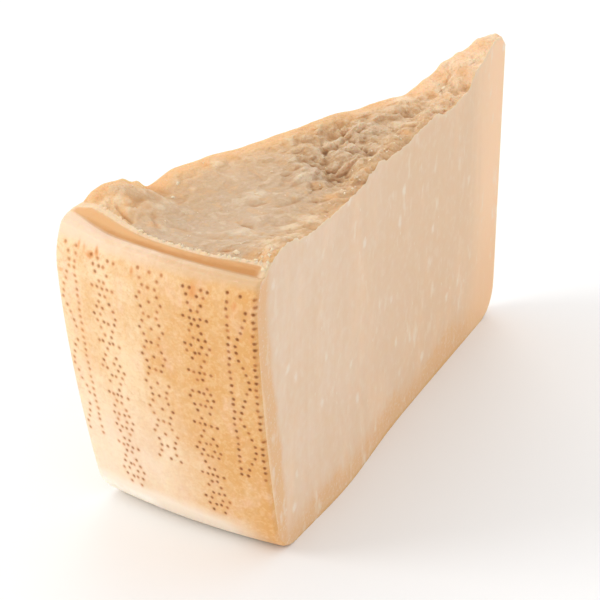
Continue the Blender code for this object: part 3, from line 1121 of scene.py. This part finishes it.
def split_material(colours):
    """Split face: tan and gritty, with painted highlight on ridges and painted shade in hollows, with its
    lip, band and ledge.
    """
    graph = Graph("split_paste")
    flakes = graph.noise(1.0, 4.0, 0.62, vector=graph.grained(0.0028, 0.0090), bend=0.5)
    clouds = graph.noise(0.016, 3.0, 0.5)
    mottle = graph.noise(0.0032, 4.0, 0.6)
    grit = graph.noise(0.0010, 3.0, 0.7)
    grains = graph.cells(0.0013, feature="SMOOTH_F1")
    sand = graph.noise(0.00075, 2.0, 0.7)
    craggy = graph.attribute("craggy").step(0.10, 0.55)
    cavity = graph.attribute("cavity")
    tone = (clouds * 0.5 + flakes * 0.45 + mottle * 0.5 - 0.42).step(0.08, 0.6)
    coat = Coat(graph, tone, colours.split_light, colours.split_tan)
    blotch = graph.noise(0.0042, 3.0, 0.55, bend=0.5)
    pale = blotch.step(0.52, 0.70) * 0.40
    # Pale paste at random and at the listed spots, which on the hill are painted highlights
    spots = (graph.attribute("pale") + (mottle - 0.5) * 0.9 + (blotch - 0.5) * 1.3).step(0.25, 0.95)
    pale = pale.larger(spots * 0.65)
    coat.lay(pale, colours.crumb)
    coat.lay(blotch.step(0.47, 0.32) * 0.45, colours.split_warm)
    warm = graph.attribute("warm") * (0.6 + mottle * 0.8)
    coat.lay(warm.smaller(1.0) * 0.7, colours.split_warm)
    glow = graph.attribute("glow") * (0.7 + clouds * 0.6)
    coat.lay(glow.smaller(1.0) * 0.8, colours.edge_glow)
    near_tip = (graph.wheel_radius() + (flakes - 0.5) * 0.030).step(0.085, 0.020)
    coat.lay(near_tip * 0.85, colours.tip_glow)
    thin = glow.larger(near_tip).larger(warm * 0.8).smaller(1.0)
    coat.lay(near_tip * blotch.step(0.46, 0.34) * 0.55, colours.edge_glow)
    # Pale lumps, and painted highlights on the thin glowing paste of the hill and the tip
    pale_lumps_and_highlights = spots.larger(near_tip * blotch.step(0.50, 0.64))
    coat.lay(pale_lumps_and_highlights * thin * 0.60, colours.crumb_light)
    # Amber paste with a painted glow, as where light shines through
    amber_glow = (graph.attribute("amber_glow") + (mottle - 0.5) * 0.9).step(0.25, 1.0)
    coat.lay(amber_glow * 0.42, colours.amber_glow)
    # Painted highlight: the ridges, found from the cavity mask, are paler
    ridge_highlight = (cavity + (grit - 0.5) * 0.5).step(0.25, 1.2)
    coat.lay(ridge_highlight * 0.48, colours.crumb)
    bright = (grit * 0.6 + sand * 0.4).step(0.50, 0.66)
    coat.lay(bright * (craggy * 0.40 + 0.12), colours.crumb)
    # Darker grit at random on the crags, laid in the crevice shade colour
    dull = (grit * 0.6 + sand * 0.4).step(0.50, 0.34)
    coat.lay(dull * (craggy * 0.38 + 0.12), colours.crevice_shade)
    # Painted shade: the hollows are darkened, less where light shines through the thin paste, where they
    # turn amber; the deepest hollows darker still
    hollow_shade = (cavity * -1.0 + (mottle - 0.5) * 0.4).step(0.05, 0.95)
    shut = 1.0 - glow.smaller(1.0)
    coat.lay(hollow_shade * (shut * 0.5 + 0.2), colours.crevice_shade)
    coat.lay(hollow_shade * glow.smaller(1.0) * 0.5, colours.amber_glow)
    deep = (cavity * -1.0).step(0.7, 2.0)
    coat.lay(deep * shut * 0.6, colours.deep_crevice_shade)
    ledge = graph.attribute("ledge")
    coat.lay((ledge + (grit - 0.5) * 0.5).step(0.3, 0.7) * 0.85, colours.ledge)
    # The band's darker orange is partly its own colour and partly painted shade of its groove wall; it
    # turns paler towards its top and to the left
    band = graph.attribute("band")
    worn = graph.noise(0.0022, 3.0, 0.6, vector=graph.stretched(0.4, 1.6, 1.0))
    inner = graph.wheel_radius().step(LIP_INNER - 0.0004, BAND_INNER)
    aside = graph.parts(graph.place)[0]
    band_tone = (worn * 0.6 + inner * 0.5 - aside * 9.0).step(0.25, 0.95)
    band_colour = graph.mix(band_tone, colours.band, colours.band_light)
    coat.lay(band, band_colour)
    lip = graph.attribute("lip")
    coat.lay(lip, lip_shade(graph, colours, aside, clouds))
    smooth = lip.larger(band)
    fine = (grit * 0.5 + sand * 0.3 - grains * 0.6) * (0.6 + craggy * 1.5)
    relief = (flakes * 0.35 + fine) * (1.0 - smooth * 0.8)
    graph.set(Base_Color=coat.colour, Roughness=0.50 - smooth * 0.06 + grit * 0.12)
    graph.set(Normal=graph.bump(relief, 0.00060, 0.9))
    translucent(graph, 0.40, 0.004)
    return graph.material


def crumb_material(name, colour, deep, weight):
    """Crumbs and crystals; the weight is how much light soaks in."""
    graph = Graph(name)
    mottle = graph.noise(0.0011, 3.0, 0.6)
    tone = graph.mix(mottle.step(0.35, 0.7), colour, deep)
    graph.set(Base_Color=tone, Roughness=0.42 + mottle * 0.2)
    graph.set(Normal=graph.bump(mottle, 0.0002, 0.6))
    translucent(graph, weight, 0.003)
    return graph.material


def colour_prop(name, description, value):
    return FloatVectorProperty(
        name=name, description=description, subtype="COLOR", size=3, min=0.0, max=1.0, default=value
    )


def shade(red, green, blue):
    """A colour given as it looks on screen, as the linear values that a shader takes."""
    return tuple(
        value / 255 / 12.92 if value <= 10 else ((value / 255 + 0.055) / 1.055) ** 2.4
        for value in (red, green, blue)
    )


class CheeseColours(bpy.types.PropertyGroup):
    rind_light: colour_prop("Rind light", "Paler patches of the rind", shade(244, 214, 172))
    rind_deep: colour_prop("Rind deep", "Deeper patches of the rind", shade(224, 168, 101))
    rind_blush: colour_prop("Rind blush", "Pinkish patches of the rind", shade(240, 200, 168))
    rind_speck: colour_prop("Rind speck", "Fine pale mottling of the rind", shade(249, 222, 178))
    # Painted highlight on the lower left and the foot of the rind
    rind_foot_highlight: colour_prop("Rind foot", "Pale low parts of the rind", shade(246, 231, 212))
    rind_dusk: colour_prop("Rind dusk", "Fine darker mottling of the rind", shade(216, 164, 104))
    # Painted highlight streak on the foot of the rind
    sheen: colour_prop("Foot highlight", "Painted highlight streak on the foot of the rind", shade(255, 246, 232))
    lip: colour_prop("Lip", "Smooth lip of the split", shade(239, 210, 180))
    lip_warm: colour_prop("Lip warm", "Warmer patches of the lip", shade(219, 181, 137))
    # Band colour: partly painted shade of the groove wall
    band: colour_prop("Band", "Pressed band inside the lip", shade(203, 144, 86))
    band_light: colour_prop("Band light", "Paler streaks of the band", shade(226, 175, 121))
    ledge: colour_prop("Ledge", "Pale ledge and crumbly line behind the band", shade(240, 210, 172))
    mark: colour_prop("Pin mark", "Dark pin marks in the rind", shade(136, 74, 20))
    mark_faint: colour_prop("Faint pin mark", "Faint pin marks in the rind", shade(184, 110, 50))
    stain: colour_prop("Stain", "Stains around the pin marks", shade(226, 152, 86))
    paste: colour_prop("Paste", "Cut paste", shade(233, 206, 180))
    paste_warm: colour_prop("Paste warm", "Warmer parts of the cut paste", shade(227, 192, 156))
    rind_section: colour_prop("Rind section", "Paste just under the rind", shade(229, 180, 128))
    tip_glow: colour_prop("Thin paste", "Thin paste that light shines through", shade(250, 210, 170))
    crystal: colour_prop("Crystal", "Crystals in the paste", shade(236, 212, 178))
    split_light: colour_prop("Split light", "Smooth parts of the split face", shade(201, 171, 139))
    split_tan: colour_prop("Split tan", "Darker parts of the split face", shade(194, 159, 121))
    split_warm: colour_prop("Split warm", "Warm paste beside the right edge", shade(216, 170, 118))
    edge_glow: colour_prop("Edge glow", "Paste that light shines through on the left", shade(244, 192, 132))
    fleck: colour_prop("Fleck", "Pale upright flecks of the cut faces", shade(240, 226, 208))
    # Amber paste with a painted glow
    amber_glow: colour_prop("Amber", "Clear amber spots of the paste", shade(230, 168, 100))
    # Painted shade for the hollows of the split face
    crevice_shade: colour_prop("Crevice", "Hollows of the split face", shade(190, 142, 96))
    deep_crevice_shade: colour_prop("Deep crevice", "Deepest hollows of the split face", shade(152, 104, 66))
    crumb_light: colour_prop("Loose crumb", "Pale loose crumbs", shade(247, 220, 184))
    crumb: colour_prop("Crumb", "Broken edges and crumbs", shade(226, 204, 174))


class CheeseSizes(bpy.types.PropertyGroup):
    mark_radius: FloatProperty(
        name="Pin mark radius", description="Radius of one pin mark", default=0.00055, unit="LENGTH"
    )
    mark_depth: FloatProperty(
        name="Pin mark depth", description="How deep a pin mark is pressed", default=0.00018, unit="LENGTH"
    )
    crystal_count: IntProperty(
        name="Crystals", description="Crystals that stand out of the split face", default=34, min=0
    )
    crumb_count: IntProperty(
        name="Crumbs", description="Crumbs along the edges of the split face", default=60, min=0
    )


class CheeseStage(bpy.types.PropertyGroup):
    key_power: FloatProperty(name="Key", description="Soft light from behind on the left", default=4.2)
    fill_power: FloatProperty(name="Fill", description="Soft light from the front on the left", default=7.2)
    sky: FloatProperty(name="Surroundings", description="Strength of the white surroundings", default=0.92)
    lens: FloatProperty(name="Lens", description="Focal length of the camera in mm", default=227.8)


class CHEESE_OT_wedge(bpy.types.Operator):
    """Make the wedge, with its rind, cut sides and rough split face"""

    bl_idname = "cheese.wedge"
    bl_label = "Wedge"

    def execute(self, context):
        sizes = context.scene.cheese_sizes
        colours = context.scene.cheese_colours
        heights = split_map()
        wedge = unit_block()
        wedge.name = wedge.data.name = "wedge"
        points = WedgePoints(wedge, heights)
        marks = rind_marks()
        points.press(marks, sizes)
        kinds = face_kinds(wedge.data)
        move_points(wedge, points.places())
        wedge.data.polygons.foreach_set("material_index", kinds)
        add_masks(wedge.data, heights, points)
        offsets = mark_offsets(wedge.data, kinds == RIND, marks, points, sizes)
        add_attribute(wedge.data, "mark", offsets, "FLOAT_VECTOR", "CORNER")
        for material in (rind_material(colours), cut_material(colours), split_material(colours)):
            wedge.data.materials.append(material)
        show_only(wedge)
        bpy.ops.object.shade_smooth_by_angle(angle=WEDGE_SMOOTHING)
        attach(wedge, "root")
        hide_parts(WEDGE_NODE)
        return {"FINISHED"}


def move_points(wedge, places):
    """Moves the block's points to their places on the wedge, and turns all faces outward."""
    wedge.data.vertices.foreach_set("co", places.ravel())
    wedge.data.update()
    show_only(wedge)
    bpy.ops.object.mode_set(mode="EDIT")
    bpy.ops.mesh.select_all(action="SELECT")
    bpy.ops.mesh.normals_make_consistent(inside=False)
    bpy.ops.object.mode_set(mode="OBJECT")


def face_kinds(mesh):
    """Material of every face of the unit block: the flat side below is rind too, the tip is cut."""
    centres = mesh_values(mesh.polygons, "center", 3)
    kinds = np.full(len(centres), CUT, np.int32)
    kinds[on_side(centres) | (centres[:, 2] < TINY - 1.0)] = RIND
    kinds[centres[:, 2] > -TINY] = SPLIT
    return kinds


def add_attribute(mesh, name, values, kind="FLOAT", domain="POINT"):
    layer = mesh.attributes.new(name, kind, domain)
    field = "vector" if kind == "FLOAT_VECTOR" else "value"
    layer.data.foreach_set(field, values.astype(np.float32).ravel())


def add_masks(mesh, heights, points):
    """Attributes for the materials. Cavity and below are heights in millimetres, the rest shares."""
    cavity = sum((heights - softened(heights, rounds)) * weight for rounds, weight in CAVITY_ROUNDS)
    x = points.radius * np.sin(HALF_ANGLE * points.across)
    craggy = [roughness(*place) for place in zip(points.radius.tolist(), x.tolist())]
    split_masks = {
        "cavity": cavity[points.rows, points.columns] * 1000.0,
        **rim_masks(points),
        "glow": glow_mask(points),
        "warm": warm_mask(points),
        "craggy": np.array(craggy),
        "amber_glow": spot_mask(AMBER_GLOW_SPOTS, points.radius, x),
        "pale": spot_mask(PALE_SPOTS, points.radius, x),
    }
    for name, mask in split_masks.items():
        add_attribute(mesh, name, mask * points.on_top)
    add_attribute(mesh, "below", (points.top - points.height) * 1000.0)
    add_attribute(mesh, "stain", stain_mask(points) * points.on_rind)


def glow_spot(spot, radius, inset):
    centre, centre_inset, length, breadth, strength = spot
    return bell((radius - centre) / length) * bell((inset - centre_inset) / breadth) * strength


def glow_mask(points):
    """Thin places that light shines through: the left edge, its hill, and the near right corner."""
    from_left = points.radius * np.sin(HALF_ANGLE * (1.0 + points.across))
    from_right = points.radius * np.sin(HALF_ANGLE * (1.0 - points.across))
    edge = sum(bell(from_left / reach) * strength for reach, strength in EDGE_GLOWS)
    hill = glow_spot(HILL_GLOW, points.radius, from_left)
    corner = glow_spot(CORNER_GLOW, points.radius, from_right)
    return np.clip(np.maximum(np.maximum(edge, hill), corner), 0.0, 1.0)


def warm_mask(points):
    """The paste beside the right edge is yellower, and so are the crags."""
    from_right = points.radius * np.sin(HALF_ANGLE * (1.0 - points.across))
    in_crags = np.clip((WARM_CRAGS_START - points.radius) / WARM_CRAGS_FADE, 0.0, WARM_CRAGS)
    return np.clip(bell(from_right / WARM_EDGE_REACH) + in_crags, 0.0, 1.0)


def spot_mask(spots, radius, x):
    mask = np.zeros(len(x))
    for spot_radius, spot_x, reach in spots:
        distance = np.hypot((radius - spot_radius) * 0.8, x - spot_x)
        mask = np.maximum(mask, bell(distance / reach))
    return mask


def stain_mask(points):
    mask = np.zeros(len(points.arc))
    for across, up, half_width, half_height, strength in STAINS:
        stain = bell((points.arc - across) / half_width) * bell((points.height - up) / half_height)
        mask = np.maximum(mask, stain * strength)
    return mask


def mark_offsets(mesh, on_rind, marks, points, sizes):
    """For every face corner, the way to its face's nearest pin mark, in mark radii, and its strength."""
    corners = mesh_values(mesh.loops, "vertex_index", 1, np.int32)[:, 0]
    totals = mesh_values(mesh.polygons, "loop_total", 1, np.int32)[:, 0]
    face_of = np.repeat(np.arange(len(totals)), totals)
    arc, height = points.arc[corners], points.height[corners]
    middle_arc = np.bincount(face_of, arc) / totals
    middle_height = np.bincount(face_of, height) / totals
    nearest = np.zeros(len(totals), int)
    nearest[on_rind] = nearest_mark(marks, middle_arc[on_rind], middle_height[on_rind])[0]
    chosen = marks[nearest[face_of]]
    offsets = np.stack([arc - chosen[:, 0], height - chosen[:, 1]], axis=1)
    return np.column_stack([offsets / sizes.mark_radius, chosen[:, 2]])


def lump(seed, rounds):
    """One irregular lump around the origin."""
    bpy.ops.object.select_all(action="DESELECT")
    bpy.ops.mesh.primitive_ico_sphere_add(subdivisions=rounds, radius=1.0)
    made = bpy.context.object
    shift = Vector((seed * 7.3, seed * 1.7, seed * 3.1))
    for vertex in made.data.vertices:
        vertex.co *= 1.0 + LOOSE_UNEVENNESS * noise.noise(vertex.co * LOOSE_WAVES + shift)
    return made


def scatter(name, spots, material, rounds):
    """Copies of a few lumps, joined into one piece. A spot is a place, size, turn and flatness."""
    models = [lump(seed + 1, rounds) for seed in range(LOOSE_SHAPES)]
    copies = []
    for number, (place, size, turn, flat) in enumerate(spots):
        model = models[number % len(models)]
        copy = model.copy()
        copy.data = model.data.copy()
        copy.location = place
        copy.rotation_euler = turn
        copy.scale = (size, size * LOOSE_BREADTH, size * flat)
        bpy.context.scene.collection.objects.link(copy)
        copies.append(copy)
    for model in models:
        bpy.data.objects.remove(model)
    bpy.ops.object.select_all(action="DESELECT")
    for copy in copies:
        copy.select_set(True)
    bpy.context.view_layer.objects.active = copies[0]
    bpy.ops.object.transform_apply(location=True, rotation=True, scale=True)
    bpy.ops.object.join()
    piece = bpy.context.object
    bpy.ops.object.transform_apply(location=True, rotation=True, scale=True)
    piece.name = piece.data.name = name
    piece.data.materials.clear()
    piece.data.materials.append(material)
    bpy.ops.object.shade_smooth_by_angle(angle=LOOSE_SMOOTHING)
    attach(piece, "root")
    return piece


def settle(radius, x, sink):
    """The place on the wedge's split face at this radius and distance to the right, sunk a little."""
    wedge = bpy.data.objects["wedge"]
    start = Vector((x, AXIS_Y - math.sqrt(radius * radius - x * x), 0.2))
    hit, point, normal, _ = wedge.ray_cast(start, Vector((0.0, 0.0, -1.0)))
    if not hit:
        raise RuntimeError("a crumb lies beside the wedge")
    return point - normal * sink


def lying(draw, radius, x, size, sink, flat):
    """The spot of one lump on the split face, turned any way and sunk by a share of its size."""
    place = settle(radius, x, size * sink)
    turn = tuple(draw.uniform(0.0, math.tau) for _ in range(3))
    return place, size, turn, flat


class CHEESE_OT_crystals(bpy.types.Operator):
    """Scatter crystals over the split face"""

    bl_idname = "cheese.crystals"
    bl_label = "Crystals"

    def execute(self, context):
        draw = random.Random(CRYSTAL_SEED)
        spots = [lying(draw, *glint, 0.3, 0.8) for glint in GLINTS]
        least, most = CRYSTAL_RADII
        for _ in range(context.scene.cheese_sizes.crystal_count):
            radius = math.sqrt(draw.uniform(least**2, most**2))
            x = radius * math.sin(HALF_ANGLE * draw.uniform(-CRYSTAL_SPREAD, CRYSTAL_SPREAD))
            size = draw.uniform(*CRYSTAL_SIZES)
            spots.append(lying(draw, radius, x, size, 0.35, 0.8))
        colours = context.scene.cheese_colours
        material = crumb_material("crystal", colours.crystal, colours.crystal, 0.2)
        scatter("crystals", spots, material, 1)
        return {"FINISHED"}


class CHEESE_OT_crumbs(bpy.types.Operator):
    """Lay crumbs along the rim's broken edge and the right edge of the split face"""

    bl_idname = "cheese.crumbs"
    bl_label = "Crumbs"

    def execute(self, context):
        draw = random.Random(CRUMB_SEED)
        spots = [lying(draw, *crumb, 0.6, 0.7) for crumb in CORNER_CRUMBS]
        for number in range(context.scene.cheese_sizes.crumb_count):
            size = draw.uniform(*CRUMB_SIZES)
            if number % 2:
                radius = BAND_INNER - BAND_CRUMB_INSET - abs(draw.gauss(0.0, BAND_CRUMB_SCATTER))
                x = radius * math.sin(HALF_ANGLE * draw.uniform(*BAND_CRUMB_ENDS))
            else:
                radius = draw.uniform(*EDGE_CRUMB_RADII)
                inset = EDGE_CRUMB_INSET + abs(draw.gauss(0.0, EDGE_CRUMB_SCATTER))
                x = radius * math.sin(HALF_ANGLE) - inset
            spots.append(lying(draw, radius, x, size, 0.62, 0.7))
        colours = context.scene.cheese_colours
        material = crumb_material("crumb", colours.crumb_light, colours.ledge, 0.35)
        scatter("crumbs", spots, material, 2)
        return {"FINISHED"}


class CHEESE_OT_stage(bpy.types.Operator):
    """Set up the floor, the soft lights and the camera"""

    bl_idname = "cheese.stage"
    bl_label = "Stage"

    def execute(self, context):
        settings = context.scene.cheese_stage
        make_floor()
        soft_light("key_light", *KEY_LIGHT, settings.key_power)
        soft_light("fill_light", *FILL_LIGHT, settings.fill_power)
        make_surroundings(settings.sky)
        make_camera(settings.lens)
        return {"FINISHED"}


def make_floor():
    bpy.ops.object.select_all(action="DESELECT")
    bpy.ops.mesh.primitive_plane_add(size=FLOOR_WIDTH)
    floor = bpy.context.object
    floor.name = "floor"
    graph = Graph("floor_white")
    graph.set(Base_Color=FLOOR_COLOUR, Roughness=0.9)
    floor.data.materials.append(graph.material)


def soft_light(name, place, width, power):
    light = bpy.data.lights.new(name, "AREA")
    light.shape = "DISK"
    light.size = width
    light.energy = power
    lamp = bpy.data.objects.new(name, light)
    bpy.context.scene.collection.objects.link(lamp)
    lamp.location = place
    lamp.rotation_euler = (Vector(LIGHT_AIM) - Vector(place)).to_track_quat("-Z", "Y").to_euler()


def make_surroundings(strength):
    world = bpy.data.worlds.new("surroundings")
    bpy.context.scene.world = world
    world.use_nodes = True
    sky = world.node_tree.nodes["Background"]
    sky.inputs[0].default_value = (1.0, 1.0, 1.0, 1.0)
    sky.inputs[1].default_value = strength
    bpy.context.scene.view_settings.view_transform = "Standard"


def make_camera(lens):
    data = bpy.data.cameras.new("camera")
    data.lens = lens
    data.sensor_width = 36.0
    data.clip_end = 20.0
    camera = bpy.data.objects.new("camera", data)
    bpy.context.scene.collection.objects.link(camera)
    camera.location = CAMERA_PLACE
    camera.rotation_euler = tuple(math.radians(angle) for angle in CAMERA_TURN)
    bpy.context.scene.camera = camera


class CHEESE_PT_panel(bpy.types.Panel):
    bl_label = "Cheese Wedge"
    bl_idname = "CHEESE_PT_panel"
    bl_space_type = "VIEW_3D"
    bl_region_type = "UI"
    bl_category = "Cheese"

    def draw(self, context):
        for operator in OPERATORS:
            self.layout.operator(operator.bl_idname)
        for group in ("cheese_sizes", "cheese_colours", "cheese_stage"):
            settings = getattr(context.scene, group)
            box = self.layout.box()
            for name in settings.__annotations__:
                box.prop(settings, name)


OPERATORS = (CHEESE_OT_wedge, CHEESE_OT_crystals, CHEESE_OT_crumbs, CHEESE_OT_stage)
CLASSES = (CheeseColours, CheeseSizes, CheeseStage, *OPERATORS, CHEESE_PT_panel)


def register():
    for item in CLASSES:
        bpy.utils.register_class(item)
    bpy.types.Scene.cheese_colours = PointerProperty(type=CheeseColours)
    bpy.types.Scene.cheese_sizes = PointerProperty(type=CheeseSizes)
    bpy.types.Scene.cheese_stage = PointerProperty(type=CheeseStage)


def unregister():
    del bpy.types.Scene.cheese_stage
    del bpy.types.Scene.cheese_sizes
    del bpy.types.Scene.cheese_colours
    for item in reversed(CLASSES):
        bpy.utils.unregister_class(item)


def main():
    register()
    bpy.ops.cheese.wedge()
    bpy.ops.cheese.crystals()
    bpy.ops.cheese.crumbs()
    bpy.ops.cheese.stage()


if __name__ == "__main__":
    main()
